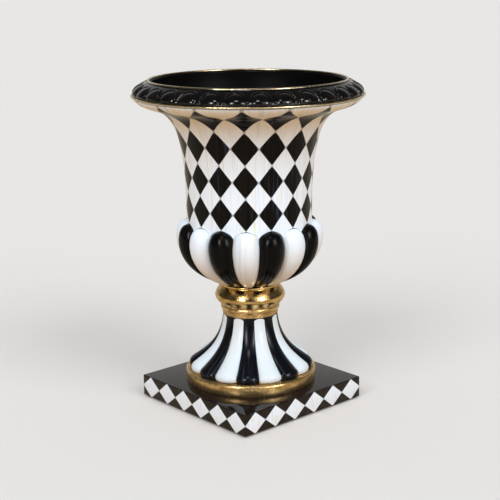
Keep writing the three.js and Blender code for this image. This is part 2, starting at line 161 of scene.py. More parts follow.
def joinXyz(tree, x, y, z):
    n = tree.nodes.new("ShaderNodeCombineXYZ")
    for socket, value in zip(n.inputs, (x, y, z)):
        feed(tree, socket, value)
    return n.outputs[0]


def splitXyz(tree, vector):
    n = tree.nodes.new("ShaderNodeSeparateXYZ")
    feed(tree, n.inputs[0], vector)
    return n.outputs


def between(tree, value, low, high):
    n = tree.nodes.new("ShaderNodeMapRange")
    n.interpolation_type = "SMOOTHSTEP"
    feed(tree, n.inputs["Value"], value)
    n.inputs["From Min"].default_value = low
    n.inputs["From Max"].default_value = high
    return n.outputs["Result"]


def blend(tree, share, first, second):
    # plain numbers mixed by share
    return calc(tree, "MULTIPLY_ADD", share, calc(tree, "SUBTRACT", second, first), first)


def startMaterial(name, **sockets):
    material = bpy.data.materials.new(name)
    material.use_nodes = True
    shader = material.node_tree.nodes["Principled BSDF"]
    for label, value in sockets.items():
        shader.inputs[label.replace("_", " ")].default_value = value
    return material, material.node_tree, shader


def noise(tree, vector, scale, detail=2.0, roughness=0.5):
    n = tree.nodes.new("ShaderNodeTexNoise")
    feed(tree, n.inputs["Vector"], vector)
    n.inputs["Scale"].default_value = scale
    n.inputs["Detail"].default_value = detail
    n.inputs["Roughness"].default_value = roughness
    return n.outputs["Fac"]


def mixColour(tree, share, first, second):
    n = tree.nodes.new("ShaderNodeMix")
    n.data_type = "RGBA"
    colours = [s for s in n.inputs if s.type == "RGBA"]
    feed(tree, n.inputs[0], share)
    feed(tree, colours[0], first)
    feed(tree, colours[1], second)
    return [s for s in n.outputs if s.type == "RGBA"][0]


def bump(tree, height, strength, distance):
    n = tree.nodes.new("ShaderNodeBump")
    feed(tree, n.inputs["Height"], height)
    n.inputs["Strength"].default_value = strength
    n.inputs["Distance"].default_value = distance
    return n.outputs["Normal"]


def objectPlace(tree):
    return tree.nodes.new("ShaderNodeTexCoord").outputs["Object"]


def distanceFromAxis(tree):
    # never less than a millimetre
    x, y = splitXyz(tree, objectPlace(tree))[:2]
    square = calc(tree, "MULTIPLY_ADD", x, x, calc(tree, "MULTIPLY", y, y))
    return calc(tree, "MAXIMUM", calc(tree, "SQRT", square), metre)


def turnsRound(tree, count):
    # position round the axis, counted in equal parts
    x, y = splitXyz(tree, objectPlace(tree))[:2]
    return calc(tree, "MULTIPLY", calc(tree, "ARCTAN2", y, x), count / fullTurn)


def acrossPart(tree, turns):
    # 0 in the middle of a part, 1 on its edge
    off = calc(tree, "SUBTRACT", turns, calc(tree, "ROUND", turns))
    return calc(tree, "MULTIPLY", calc(tree, "ABSOLUTE", off), 2)


def strokesRound(tree):
    # height is squeezed, so that noise runs in upright brush strokes
    x, y, z = splitXyz(tree, objectPlace(tree))
    r = distanceFromAxis(tree)
    return joinXyz(tree, calc(tree, "DIVIDE", x, r), calc(tree, "DIVIDE", y, r),
                   calc(tree, "MULTIPLY", z, paint["strokeStretch"]))


# paints

paint = {
    "ivory": (0.885, 0.885, 0.875, 1),
    # a paler, cooler copy of the ivory for the body: painted light on the same paint
    "litBodyIvory": (0.92, 0.93, 0.93, 1),
    # a darker copy of the ivory for the ribs, which face up into the light: painted shade
    "shadedRibIvory": (0.765, 0.745, 0.700, 1),
    "yellowStroke": (0.84, 0.77, 0.56, 1),
    "blueStroke": (0.66, 0.74, 0.82, 1),
    "lilacStroke": (0.70, 0.67, 0.70, 1),
    "black": (0.0030, 0.0025, 0.0024, 1),
    "brownStroke": (0.0085, 0.0055, 0.0038, 1),
    # bluish streaks on the black: partly brush strokes, partly a painted sheen of ridges catching
    # light
    "sheenSlateStroke": (0.030, 0.043, 0.072, 1),
    "umber": (0.014, 0.0075, 0.0038, 1),
    "navy": (0.0030, 0.0038, 0.0062, 1),
    "strokeStretch": 0.25, "hairFineness": 75.0, "hairShare": 0.35, "softFineness": 30,
    "reliefStrength": 0.18, "reliefDepth": 0.0006, "dull": 0.12, "dullSpread": 0.14,
    "polished": 0.02, "wobble": 0.035, "wobbleAcross": 28, "wobbleUp": 19,
    "stripeWobble": 0.03, "stripeFineness": 40,
}
# fineness, where the stroke begins, where it is full, and how strong it is
strokeKinds = {
    "yellow": (26.0, 0.60, 0.70, 0.70), "blue": (30.42, 0.61, 0.70, 0.50),
    "lilac": (75.0, 0.62, 0.72, 0.40), "brown": (20.8, 0.45, 0.65, 0.8),
    # the slate streaks are partly brush strokes, partly painted sheen
    "sheenSlate": (33.8, 0.64, 0.70, 0.5),
}


def addStrokes(tree, strokes, colour, kinds):
    for kind in kinds:
        fineness, start, full, strength = strokeKinds[kind]
        share = between(tree, noise(tree, strokes, fineness, 1), start, full)
        share = calc(tree, "MULTIPLY", share, strength)
        colour = mixColour(tree, share, colour, paint[kind + "Stroke"])
    return colour


def enamel(name, blackShare, shine, strokes=strokesRound, pale=paint["ivory"],
           dark=paint["black"], polish=None):
    # blackShare(tree) is 1 where the paint is black, polish(tree) where it is polished flat
    material, tree, shader = startMaterial(name, Specular_IOR_Level=shine)
    strokes = strokes(tree)
    rough = calc(tree, "SUBTRACT", 1, polish(tree)) if polish else 1.0
    ivory = addStrokes(tree, strokes, pale, ("yellow", "blue", "lilac"))
    # the black gets brown brush strokes, and slate streaks that are partly painted sheen
    black = addStrokes(tree, strokes, dark, ("brown", "sheenSlate"))
    feed(tree, shader.inputs["Base Color"], mixColour(tree, blackShare(tree), ivory, black))
    hairs = noise(tree, strokes, paint["hairFineness"])
    soft = noise(tree, objectPlace(tree), paint["softFineness"], 1)
    height = calc(tree, "MULTIPLY_ADD", hairs, paint["hairShare"], soft)
    height = calc(tree, "MULTIPLY", height, rough)
    feed(tree, shader.inputs["Normal"],
         bump(tree, height, paint["reliefStrength"], paint["reliefDepth"]))
    dull = calc(tree, "MULTIPLY_ADD", hairs, paint["dullSpread"], paint["dull"])
    feed(tree, shader.inputs["Roughness"],
         calc(tree, "MULTIPLY_ADD", dull, rough, paint["polished"]))
    return material


def wander(tree, scale, reach):
    # the small unsteadiness of a hand-painted edge
    drift = calc(tree, "SUBTRACT", noise(tree, objectPlace(tree), scale), 0.5)
    return calc(tree, "MULTIPLY", drift, reach)


def lozengeShare(tree, u, v):
    # black lozenges stand on whole u, ivory ones half a part aside
    edge = paint["wobble"]
    u = calc(tree, "ADD", u, wander(tree, paint["wobbleAcross"], edge))
    v = calc(tree, "ADD", v, wander(tree, paint["wobbleUp"], edge))
    first = calc(tree, "SINE", calc(tree, "MULTIPLY", calc(tree, "ADD", u, v), math.pi))
    second = calc(tree, "SINE", calc(tree, "MULTIPLY", calc(tree, "SUBTRACT", u, v), math.pi))
    return between(tree, calc(tree, "MULTIPLY", first, second), edge, -edge)


def bodyLozenges(tree):
    pattern = tree.nodes.new("ShaderNodeUVMap")
    pattern.uv_map = "pattern"
    v = splitXyz(tree, pattern.outputs["UV"])[1]
    turns = turnsRound(tree, bowl["lobes"])
    share = lozengeShare(tree, turns, v)
    # a thin grey line follows the tops of the lobes: partly a painted outline, partly painted shade
    # in the crease where lobe and bell meet
    across = acrossPart(tree, turns)
    arch = calc(tree, "SUBTRACT", 1, calc(tree, "MULTIPLY", across, across))
    arch = calc(tree, "POWER", arch, bowl["fullness"])
    archHeight = calc(tree, "MULTIPLY_ADD", arch, bowl["archDrop"] * metre,
                      (bowl["lobeTop"] - bowl["archDrop"]) * metre)
    above = calc(tree, "SUBTRACT", splitXyz(tree, objectPlace(tree))[2], archHeight)
    line = between(tree, above, bowl["archLineShadeTop"] * metre, bowl["archLineShadeFoot"] * metre)
    line = calc(tree, "MULTIPLY", line, bowl["archLineShadeDarkness"])
    return calc(tree, "MAXIMUM", share, line)


def reliefStripes(blackInFront, endDistance, endLength):
    # every second relief of sixteen is black; ivory ones have a rounded end
    def share(tree):
        edge = paint["stripeWobble"]
        turns = turnsRound(tree, bowl["lobes"])
        turns = calc(tree, "ADD", turns, wander(tree, paint["stripeFineness"], edge))
        wave = calc(tree, "COSINE", calc(tree, "MULTIPLY", turns, math.pi))
        low, high = (-edge, edge) if blackInFront else (edge, -edge)
        left = calc(tree, "DIVIDE", endDistance(tree), endLength * metre)
        left = calc(tree, "MAXIMUM", calc(tree, "SUBTRACT", 1, left), 0)
        left = calc(tree, "MINIMUM", left, 1)
        width = calc(tree, "SUBTRACT", 1, calc(tree, "MULTIPLY", left, left))
        past = calc(tree, "SUBTRACT", acrossPart(tree, turns), calc(tree, "SQRT", width))
        return calc(tree, "MAXIMUM", between(tree, wave, low, high),
                    between(tree, past, -edge, edge))
    return share


def fromLobeToe(tree):
    return calc(tree, "SUBTRACT", distanceFromAxis(tree), bowl["ivoryToe"] * metre)


def fromRibTop(tree):
    height = splitXyz(tree, objectPlace(tree))[2]
    return calc(tree, "SUBTRACT", ribPaint["ivoryTop"] * metre, height)


def faceNormal(tree):
    normal = tree.nodes.new("ShaderNodeNewGeometry").outputs["True Normal"]
    return splitXyz(tree, normal)


def plinthTop(tree):
    return between(tree, faceNormal(tree)[2], plinth["polishFrom"], plinth["polishTo"])


def plinthLozenges(tree):
    x, y, z = splitXyz(tree, objectPlace(tree))
    nx, ny, nz = faceNormal(tree)
    onX = calc(tree, "GREATER_THAN", calc(tree, "ABSOLUTE", nx), calc(tree, "ABSOLUTE", ny))
    along = blend(tree, onX, x, y)
    side, tall = plinth["side"] * metre, (plinth["top"] - plinth["bottom"]) * metre
    count = plinth["lozenges"]
    u = calc(tree, "MULTIPLY_ADD", along, count / side, count / 2)
    v = calc(tree, "DIVIDE", calc(tree, "SUBTRACT", z, plinth["bottom"] * metre), tall)
    share = lozengeShare(tree, u, calc(tree, "ADD", v, 0.5))
    return calc(tree, "MAXIMUM", share, between(tree, nz, plinth["paintEnd"], plinth["topStart"]))


def plinthStrokes(tree):
    x, y, z = splitXyz(tree, objectPlace(tree))
    fine = plinth["strokesPerMetre"]
    return joinXyz(tree, calc(tree, "MULTIPLY", x, fine), calc(tree, "MULTIPLY", y, fine), z)


gloss = {
    "brownFineness": 40, "brownFrom": 0.4, "brownTo": 0.7, "dimpleFineness": 160,
    "dimpleStrength": 0.16, "dimpleDepth": 0.0005, "dullSpread": 0.06,
}


def glossBlack(name, shine, dull, stroke):
    material, tree, shader = startMaterial(name, Specular_IOR_Level=shine)
    place = objectPlace(tree)
    brown = noise(tree, place, gloss["brownFineness"])
    brown = between(tree, brown, gloss["brownFrom"], gloss["brownTo"])
    feed(tree, shader.inputs["Base Color"], mixColour(tree, brown, paint["black"], stroke))
    dimple = noise(tree, place, gloss["dimpleFineness"])
    feed(tree, shader.inputs["Normal"],
         bump(tree, dimple, gloss["dimpleStrength"], gloss["dimpleDepth"]))
    feed(tree, shader.inputs["Roughness"],
         calc(tree, "MULTIPLY_ADD", dimple, gloss["dullSpread"], dull))
    return material


gilt = {
    "patchFineness": 55, "patchDetail": 4, "patchRoughness": 0.65, "deepFrom": 0.35,
    "deepTo": 0.68, "speckFineness": 420, "speckRoughness": 0.6, "wornFrom": 0.56,
    "wornTo": 0.70, "speckShare": 0.4, "depth": 0.001, "dullSpread": 0.22,
}
polished = {
    "bright": (0.88, 0.62, 0.27, 1), "deep": (0.50, 0.29, 0.09, 1), "worn": (0.16, 0.09, 0.03, 1),
    "wornShare": 0.8, "grain": 0.5, "dull": 0.05, "metallic": 1.0,
}
mottled = {
    "bright": (0.88, 0.61, 0.28, 1), "deep": (0.50, 0.30, 0.10, 1), "worn": (0.12, 0.08, 0.04, 1),
    "wornShare": 0.8, "grain": 0.6, "dull": 0.18, "metallic": 0.92,
}
champagne = {
    "bright": (0.90, 0.76, 0.51, 1), "deep": (0.70, 0.53, 0.30, 1), "worn": (0.20, 0.15, 0.08, 1),
    "wornShare": 0.8, "grain": 0.6, "dull": 0.08, "metallic": 1.0,
}


def giltMaterial(name, s):
    material, tree, shader = startMaterial(name, Metallic=s["metallic"])
    place = objectPlace(tree)
    patches = noise(
        tree, place, gilt["patchFineness"], gilt["patchDetail"], gilt["patchRoughness"])
    specks = noise(tree, place, gilt["speckFineness"], roughness=gilt["speckRoughness"])
    deep = between(tree, patches, gilt["deepFrom"], gilt["deepTo"])
    colour = mixColour(tree, deep, s["bright"], s["deep"])
    worn = between(tree, specks, gilt["wornFrom"], gilt["wornTo"])
    worn = calc(tree, "MULTIPLY", worn, s["wornShare"])
    feed(tree, shader.inputs["Base Color"], mixColour(tree, worn, colour, s["worn"]))
    height = calc(tree, "MULTIPLY_ADD", specks, gilt["speckShare"], patches)
    feed(tree, shader.inputs["Normal"], bump(tree, height, s["grain"], gilt["depth"]))
    feed(tree, shader.inputs["Roughness"],
         calc(tree, "MULTIPLY_ADD", patches, gilt["dullSpread"], s["dull"]))
    return material


plain = {"detail": 3, "roughness": 0.6, "darker": 0.7, "dullSpread": 0.2, "relief": 0.3}
# colour, dullness, metallic share, and the grain's fineness and depth
plainKinds = {
    "zincSteel": ((0.52, 0.53, 0.54, 1), 0.35, 1.0, 900, 0.0002),
    "blackRubber": ((0.03, 0.03, 0.03, 1), 0.7, 0.0, 600, 0.0004),
    "greyRubber": ((0.12, 0.12, 0.12, 1), 0.6, 0.0, 600, 0.0002),
    "fibreBoard": ((0.19, 0.13, 0.085, 1), 0.75, 0.0, 300, 0.0005),
}


def plainMaterial(name):
    colour, dull, metallic, fineness, depth = plainKinds[name]
    material, tree, shader = startMaterial(name, Metallic=metallic)
    grain = noise(tree, objectPlace(tree), fineness, plain["detail"], plain["roughness"])
    dark = tuple(c * plain["darker"] for c in colour[:3]) + (1,)
    feed(tree, shader.inputs["Base Color"], mixColour(tree, grain, colour, dark))
    spread = plain["dullSpread"]
    feed(tree, shader.inputs["Roughness"],
         calc(tree, "MULTIPLY_ADD", grain, spread, dull - spread / 2))
    feed(tree, shader.inputs["Normal"], bump(tree, grain, plain["relief"], depth))
    return material


# settings of the pieces that the paint has to line up with

bowl = {
    "wall": 3.0, "seat": 237.3, "floor": 242.3, "rodHole": 7.0, "neck": 118.6,
    "lobes": 16, "lobeDepth": 14.6, "lobeRadius": 139.3, "lobeWidest": 325.8, "lobeTop": 357.5,
    "toePull": (38.8, 9.8), "sidePull": (0, -46), "shoulderPull": (0, 18), "topPull": (14.5, 0),
    "archDrop": 12.5, "archPull": (0, 8), "archTopPull": (0, -6), "toe": 55.8, "fade": 10.0,
    "fullness": 0.75, "lining": 0.28, "floorRadius": 51.8,
    "bellStart": 385.3, "bellTop": 589.0, "lip": 212.0,
    "bellWaistPull": (0, 228.7), "bellFlarePull": (-28.7, -38.2),
    "drainCircle": 37.8, "drainAngle": 0.75 * math.pi, "drainHole": 8.0,
    "sharpAngle": 55, "lipRoll": 0.6, "neckStart": 1.5, "floorRound": (2, 0.5),
    "drillDepth": 30.0, "drillSides": 64,
    "underSteps": 42, "shoulderSteps": 24, "neckSteps": 8, "bellSteps": 56, "rollSteps": 6,
    "liningSteps": 36, "underLiningSteps": 24,
    "stepsPerLobe": 24, "lozengeRows": 4, "ivoryToe": 58.5, "toeLength": 9,
    # thin grey line over the lobe tops: partly painted outline, partly painted shade in the crease
    "archLineShadeTop": 1.6, "archLineShadeFoot": 0.8, "archLineShadeDarkness": 0.45,
}
pedestal = {
    "Rib Count": 16, "Sides": 16 * 24, "Rib Depth": 8.0, "Top Depth": 0.7, "Fullness": 0.75,
    "Toe Radius": 114.0, "Top Radius": 52.2, "Toe Cut": 0.9,
    "Toe": (114.0, 66.9, 0), "Toe Pull": (121.0, 67.2, 0),
    "End Pull": (122.5, 77.9, 0), "End": (112.5, 85.0, 0),
    "Skirt Pull": (86.0, 103.7, 0), "Waist Pull": (58.2, 118.5, 0), "Top": (52.2, 175.7, 0),
    "Toe Steps": 16, "Flank Steps": 56,
}
ribPaint = {"ivoryTop": 174.5, "topLength": 5}
plinth = {
    "side": 300.0, "bottom": 3.0, "top": 44.0, "wall": 5.0, "topThickness": 6.0, "edge": 1.6,
    "lozenges": 6, "strokesPerMetre": 7.0, "paintEnd": 0.5, "topStart": 0.6,
    "polishFrom": 0.5, "polishTo": 0.95, "edgeSteps": 4, "sharpAngle": 30,
}

lobeStripes = reliefStripes(False, fromLobeToe, bowl["toeLength"])
ribStripes = reliefStripes(True, fromRibTop, ribPaint["topLength"])
# the body's ivory is painted paler and cooler, as painted light
lozengeEnamel = enamel("lozengeEnamel", bodyLozenges, shine=0.12, pale=paint["litBodyIvory"])
lobeEnamel = enamel("lobeEnamel", lobeStripes, shine=0.1)
# the ribs' ivory is painted darker, as painted shade
ribEnamel = enamel("ribEnamel", ribStripes, shine=0.2, pale=paint["shadedRibIvory"], dark=paint["navy"])
plinthEnamel = enamel("plinthEnamel", plinthLozenges, shine=0.3, strokes=plinthStrokes,
                      dark=paint["umber"], polish=plinthTop)
blackGloss = glossBlack("blackGloss", shine=0.45, dull=0.01, stroke=paint["brownStroke"])
blackLining = glossBlack("blackLining", shine=0.04, dull=0.4, stroke=paint["black"])
polishedGilt = giltMaterial("polishedGilt", polished)
mottledGilt = giltMaterial("mottledGilt", mottled)
champagneGilt = giltMaterial("champagneGilt", champagne)
zincSteel = plainMaterial("zincSteel")
blackRubber = plainMaterial("blackRubber")
greyRubber = plainMaterial("greyRubber")
fibreBoard = plainMaterial("fibreBoard")
print("materials made")


# one sector of a round piece, repeated round the axis by Geometry Nodes

def geometryTree(name, inputs):
    tree = bpy.data.node_groups.new(name, "GeometryNodeTree")
    tree.interface.new_socket(
        name="Geometry", in_out="OUTPUT", socket_type="NodeSocketGeometry")
    for label, kind in inputs.items():
        tree.interface.new_socket(name=label, in_out="INPUT", socket_type="NodeSocket" + kind)
    return tree, tree.nodes.new("NodeGroupInput").outputs


def addNode(tree, kind, **links):
    n = tree.nodes.new("GeometryNode" + kind)
    for label, value in links.items():
        feed(tree, n.inputs[label.replace("_", " ")], value)
    return n


def useTree(piece, tree, values):
    modifier = piece.modifiers.new(tree.name, "NODES")
    modifier.node_group = tree
    for item in tree.interface.items_tree:
        if item.item_type == "SOCKET" and item.in_out == "INPUT":
            modifier[item.identifier] = values[item.name]
    applyModifiers(piece)


def repeatRoundTree():
    tree, given = geometryTree("repeatRound", {
        "Sector": "Object", "Count": "Int", "Weld": "Float",
        "Body Finish": "Material", "Relief Finish": "Material", "Lining Finish": "Material"})
    points = addNode(tree, "Points", Count=given["Count"])
    sector = addNode(tree, "ObjectInfo", Object=given["Sector"])
    index = addNode(tree, "InputIndex").outputs[0]
    angle = calc(tree, "MULTIPLY", index, calc(tree, "DIVIDE", fullTurn, given["Count"]))
    placed = addNode(tree, "InstanceOnPoints", Points=points.outputs[0],
                     Instance=sector.outputs["Geometry"], Rotation=joinXyz(tree, 0, 0, angle))
    real = addNode(tree, "RealizeInstances", Geometry=placed.outputs[0])
    last = addNode(tree, "MergeByDistance", Geometry=real.outputs[0], Distance=given["Weld"])
    zone = tree.nodes.new("GeometryNodeInputNamedAttribute")
    zone.data_type = "FLOAT"
    zone.inputs["Name"].default_value = "zone"
    share = [s for s in zone.outputs if s.enabled and s.name == "Attribute"][0]
    for level, label in enumerate(("Body Finish", "Relief Finish", "Lining Finish")):
        chosen = calc(tree, "GREATER_THAN", share, level - 0.5)
        last = addNode(tree, "SetMaterial", Geometry=last.outputs[0], Selection=chosen,
                       Material=given[label])
    tree.links.new(last.outputs[0], tree.nodes.new("NodeGroupOutput").inputs[0])
    return tree


repeatRound = repeatRoundTree()


def repeatSector(name, mesh, count, finishes, sharpAngle):
    sector = bpy.data.objects.new(name + "Sector", mesh)
    scene.collection.objects.link(sector)
    piece = makePiece(name, bpy.data.meshes.new(name), [], sharpAngle)
    useTree(piece, repeatRound, {
        "Sector": sector, "Count": count, "Weld": weld * metre,
        "Body Finish": finishes[0], "Relief Finish": finishes[1], "Lining Finish": finishes[2]})
    bpy.data.objects.remove(sector)
    smoothFaces(piece, sharpAngle)
    return piece


def markZones(mesh, zones, steps):
    # zone of the faces that follow each row: 0 body, 1 relief, 2 lining
    zone = mesh.attributes.new("zone", "FLOAT", "FACE")
    zone.data.foreach_set("value", np.repeat(zones, steps).astype(np.float32))


def sectorAngles(count, steps):
    half = math.pi / count
    angles = np.linspace(-half, half, steps + 1)
    return angles, angles / half


# bowl: lobed below, bell-shaped above

def drainPlace(height):
    turn, away = bowl["drainAngle"], bowl["drainCircle"]
    return Vector((away * math.cos(turn), away * math.sin(turn), height)) * metre


def makeBowl(s):
    angles, across = sectorAngles(s["lobes"], s["stepsPerLobe"])
    share = roundBack(across, s["fullness"])
    widest = (s["lobeRadius"], s["lobeWidest"])
    neckTop = (s["neck"], s["lobeTop"])
    under = cubic((s["toe"], s["seat"]), s["toePull"], s["sidePull"], widest)
    shoulder = cubic(widest, s["shoulderPull"], s["topPull"], neckTop)
    archValley = cubic((s["lobeRadius"] - s["lobeDepth"], s["lobeWidest"]), s["archPull"],
                       s["archTopPull"], (s["neck"], s["lobeTop"] - s["archDrop"]))
    bell = cubic((s["neck"], s["bellStart"]), s["bellWaistPull"], s["bellFlarePull"],
                 (s["lip"], s["bellTop"]))
    inner = s["neck"] - s["wall"]

    def reach(radius):
        fade = np.clip((radius - s["toe"]) / s["fade"], 0, 1)
        return s["lobeDepth"] * radius * fade / s["lobeRadius"]

    rows, zones = [], []

    def add(row, zone):
        rows.append(row)
        zones.append(zone)

    add(plainRow(angles, (s["rodHole"], s["seat"])), 2)
    for t in np.linspace(0, 1, s["underSteps"]):
        crest = under(t)[0]
        add(reliefRow(crest, inside(under, t, reach(crest[0])), share), 1)
    for t in np.linspace(0, 1, s["shoulderSteps"])[1:]:
        add(reliefRow(shoulder(t)[0], archValley(t)[0], share), 1)
    zones[-1] = 0
    firstBody = len(rows)
    for z in np.linspace(s["lobeTop"] + s["neckStart"], s["bellStart"], s["neckSteps"])[:-1]:
        add(plainRow(angles, (s["neck"], z)), 0)
    for t in np.linspace(0, 1, s["bellSteps"]):
        add(plainRow(angles, bell(t)[0]), 0)
    lipRow = len(rows) - 1
    along = bell(1.0)[1]
    middle, out = inside(bell, 1.0, s["wall"] / 2), np.array([along[1], -along[0]])
    for turn in np.linspace(0, math.pi, s["rollSteps"])[1:-1]:  # rolled edge of the lip
        edge = math.cos(turn) * out + s["lipRoll"] * math.sin(turn) * along
        add(plainRow(angles, middle + edge * s["wall"] / 2), 0)
    for t in np.linspace(1, 0, s["liningSteps"]):
        add(plainRow(angles, inside(bell, t, s["wall"])), 2)
    add(plainRow(angles, (inner, s["lobeTop"])), 2)
    for t in np.linspace(1, s["lining"], s["underLiningSteps"]):
        add(plainRow(angles, inside(under, t, reach(under(t)[0][0]) + s["wall"])), 2)
    roundWide, roundHigh = s["floorRound"]
    add(plainRow(angles, (s["floorRadius"] + roundWide, s["floor"] + roundHigh)), 2)
    add(plainRow(angles, (s["floorRadius"], s["floor"])), 2)
    add(plainRow(angles, (s["rodHole"], s["floor"])), 2)

    # pattern rows grow with the girth, so that lozenges keep their proportions
    mesh = meshFromRows("bowlSector", rows, angles, True, False)
    edge = np.array([row[0] for row in rows])
    step = np.hypot(*(edge[1:] - edge[:-1]).T) / (edge[1:, 0] + edge[:-1, 0])
    height = np.concatenate([[0], np.cumsum(step)])
    level = (height - height[firstBody]) / (height[lipRow] - height[firstBody])
    level *= s["lozengeRows"]
    tall = np.repeat(np.arange(len(rows)), len(angles))
    pattern = mesh.uv_layers.new(name="pattern").data
    corner = np.zeros(len(mesh.loops), np.int32)
    mesh.loops.foreach_get("vertex_index", corner)
    values = np.zeros((len(corner), 2))
    values[:, 1] = level[tall[corner]]
    pattern.foreach_set("uv", values.reshape(-1))
    markZones(mesh, zones, s["stepsPerLobe"])

    finishes = (lozengeEnamel, lobeEnamel, blackLining)
    piece = repeatSector("bowlShell", mesh, s["lobes"], finishes, s["sharpAngle"])
    drill = bmesh.new()
    radius = s["drainHole"] * metre
    bmesh.ops.create_cone(drill, cap_ends=True, segments=s["drillSides"], radius1=radius,
                          radius2=radius, depth=s["drillDepth"] * metre)
    cutterMesh = bpy.data.meshes.new("drainCutter")
    drill.to_mesh(cutterMesh)
    drill.free()
    cutter = bpy.data.objects.new("drainCutter", cutterMesh)
    cutter.location = drainPlace(s["floor"])
    scene.collection.objects.link(cutter)
    cut = piece.modifiers.new("drain", "BOOLEAN")
    cut.object = cutter
    cut.operation = "DIFFERENCE"
    applyModifiers(piece)
    bpy.data.objects.remove(cutter)
    standFor(piece, "lozenge_enamel", "bowl_belly", "bowl_bell")
    return bell


bell = makeBowl(bowl)
print("bowl made")


# rim: one tongue with its arch and darts, repeated round the mouth

rim = {
    "tongues": 30, "stepsAcross": 28, "rowsUp": 44, "foot": (213.2, 596.8), "top": (187.2, 621.6),
    "footPull": (7.2, 0.8), "topPull": (20.3, -3.1), "base": 4.4,
    "egg": 4.0, "eggMiddle": 0.43, "eggHalfLength": 0.40, "eggHalfWidth": 0.74, "eggFullness": 0.55,
    "outline": 2.2, "outlineOffset": 0.36, "outlineWidth": 0.17, "outlineFrom": 0.22,
    "outlineRun": 0.2, "dart": 2.6, "dartWidth": 0.13, "dartTop": 0.62, "dartRun": 0.35,
    "endFullness": 0.35, "ledge": 618.8, "edge": 0.6, "step": (0.4, 0.3), "throat": 181.0,
    "throatDrop": 1.8, "throatPull": (-0.5, -15), "throatToePull": (10, 13.5),
    "gapToBell": 3.7, "bellShare": 0.625, "throatSteps": 14, "underSteps": 8, "sharpAngle": 60,
}


def tongueRelief(s, across, up):
    # height over the sunk ground: egg, raised line round its upper end, darts between
    egg = 1 - (across / s["eggHalfWidth"]) ** 2
    egg -= ((up - s["eggMiddle"]) / s["eggHalfLength"]) ** 2
    height = s["egg"] * np.clip(egg, 0, 1) ** s["eggFullness"]
    line = np.exp(-((egg + s["outlineOffset"]) / s["outlineWidth"]) ** 2)
    line *= np.clip((up - s["outlineFrom"]) / s["outlineRun"], 0, 1)
    height = np.maximum(height, s["outline"] * line)
    dart = np.exp(-((np.abs(across) - 1) / s["dartWidth"]) ** 2)
    dart *= np.clip((s["dartTop"] - up) / s["dartRun"], 0, 1)
    height = np.maximum(height, s["dart"] * dart)
    ends = np.clip(np.sin(math.pi * up), 0, 1) ** s["endFullness"]
    return (height - s["base"]) * ends


def makeRim(s):
    angles, across = sectorAngles(s["tongues"], s["stepsAcross"])
    ovolo = cubic(s["foot"], s["footPull"], s["topPull"], s["top"])
    rows = []
    for t in np.linspace(0, 1, s["rowsUp"]):
        rows.append(np.array([inside(ovolo, t, -tongueRelief(s, a, t)) for a in across]))
    lower = [inside(bell, t, s["gapToBell"])
             for t in np.linspace(s["bellShare"], 1, s["underSteps"])]
    throat = cubic((s["throat"], s["ledge"] - s["throatDrop"]), s["throatPull"],
                   s["throatToePull"], lower[0])
    top, ledge, edge = s["top"][0], s["ledge"], s["edge"]
    ledgeRows = [(top, ledge + s["step"][1]), (top - s["step"][0], ledge),
                 (s["throat"] + edge, ledge)]
    liningRows = [(s["throat"], ledge - edge)] + pointsOn(throat, s["throatSteps"]) + lower[1:]
    rows += [plainRow(angles, p) for p in ledgeRows + liningRows]
    mesh = meshFromRows("tongueSector", rows, angles, True, False)
    zones = [0] * (s["rowsUp"] + len(ledgeRows)) + [2] * len(liningRows)
    markZones(mesh, zones, s["stepsAcross"])
    finishes = (blackGloss, blackGloss, blackLining)
    piece = repeatSector("rimMoulding", mesh, s["tongues"], finishes, s["sharpAngle"])
    standFor(piece, "black_gloss", "rim_moulding")


makeRim(rim)

rimBeads = {
    "size": 2.4, "flatness": 0.866, "sectionSides": 20, "sides": 240, "sharpAngle": 80,
    "outer": (214.4, 594.0), "inner": (183.9, 621.6),
}


def makeRimBeads(s):
    for name, node, middle in (("outerRimBead", "rim_outer_bead", s["outer"]),
                               ("innerRimBead", "rim_inner_bead", s["inner"])):
        section = [(middle[0] + s["size"] * math.cos(a),
                    middle[1] + s["flatness"] * s["size"] * math.sin(a))
                   for a in circleAngles(s["sectionSides"])]
        piece = turnedPiece(name, section, s["sides"], champagneGilt, s["sharpAngle"])
        standFor(piece, "gilt_metal", node)


makeRimBeads(rimBeads)
print("rim made")


# collar: bead ring below, knop above

collar = {
    "sides": 192, "flange": 53.4, "ringBottom": 176.0, "flangeTop": 183.0, "ringTop": 193.2,
    "ringBore": 45.4, "beadFoot": 53.1, "beadPull": (4, 1.8), "beadTopPull": (2.2, -2.6),
    "beadTop": 55.0, "flangeEdge": 0.5, "flangeGroove": 1.1,
    "neck": 55.8, "knopBottom": 193.5, "lowerPull": (4, 4.3), "widest": (67.2, 211.5),
    "widestPull": 6.0, "upperPull": (4.2, -4.2), "rollTop": (56.8, 230.6), "neckTop": 232.4,
    "fillet": 57.8, "filletBottom": 233.4, "filletTop": 236.0, "top": 237.0, "bore": 47.8,
    "coveTopPull": (-0.8, 0.8), "coveFootPull": (0, -0.6), "filletFootPull": (0.2, 0.7),
    "filletSidePull": 0.6, "filletEdge": 0.4, "filletFlat": 1, "sharpAngle": 35,
    "beadSteps": 18, "lowerSteps": 20, "upperSteps": 22, "coveSteps": 5, "filletSteps": 6,
}


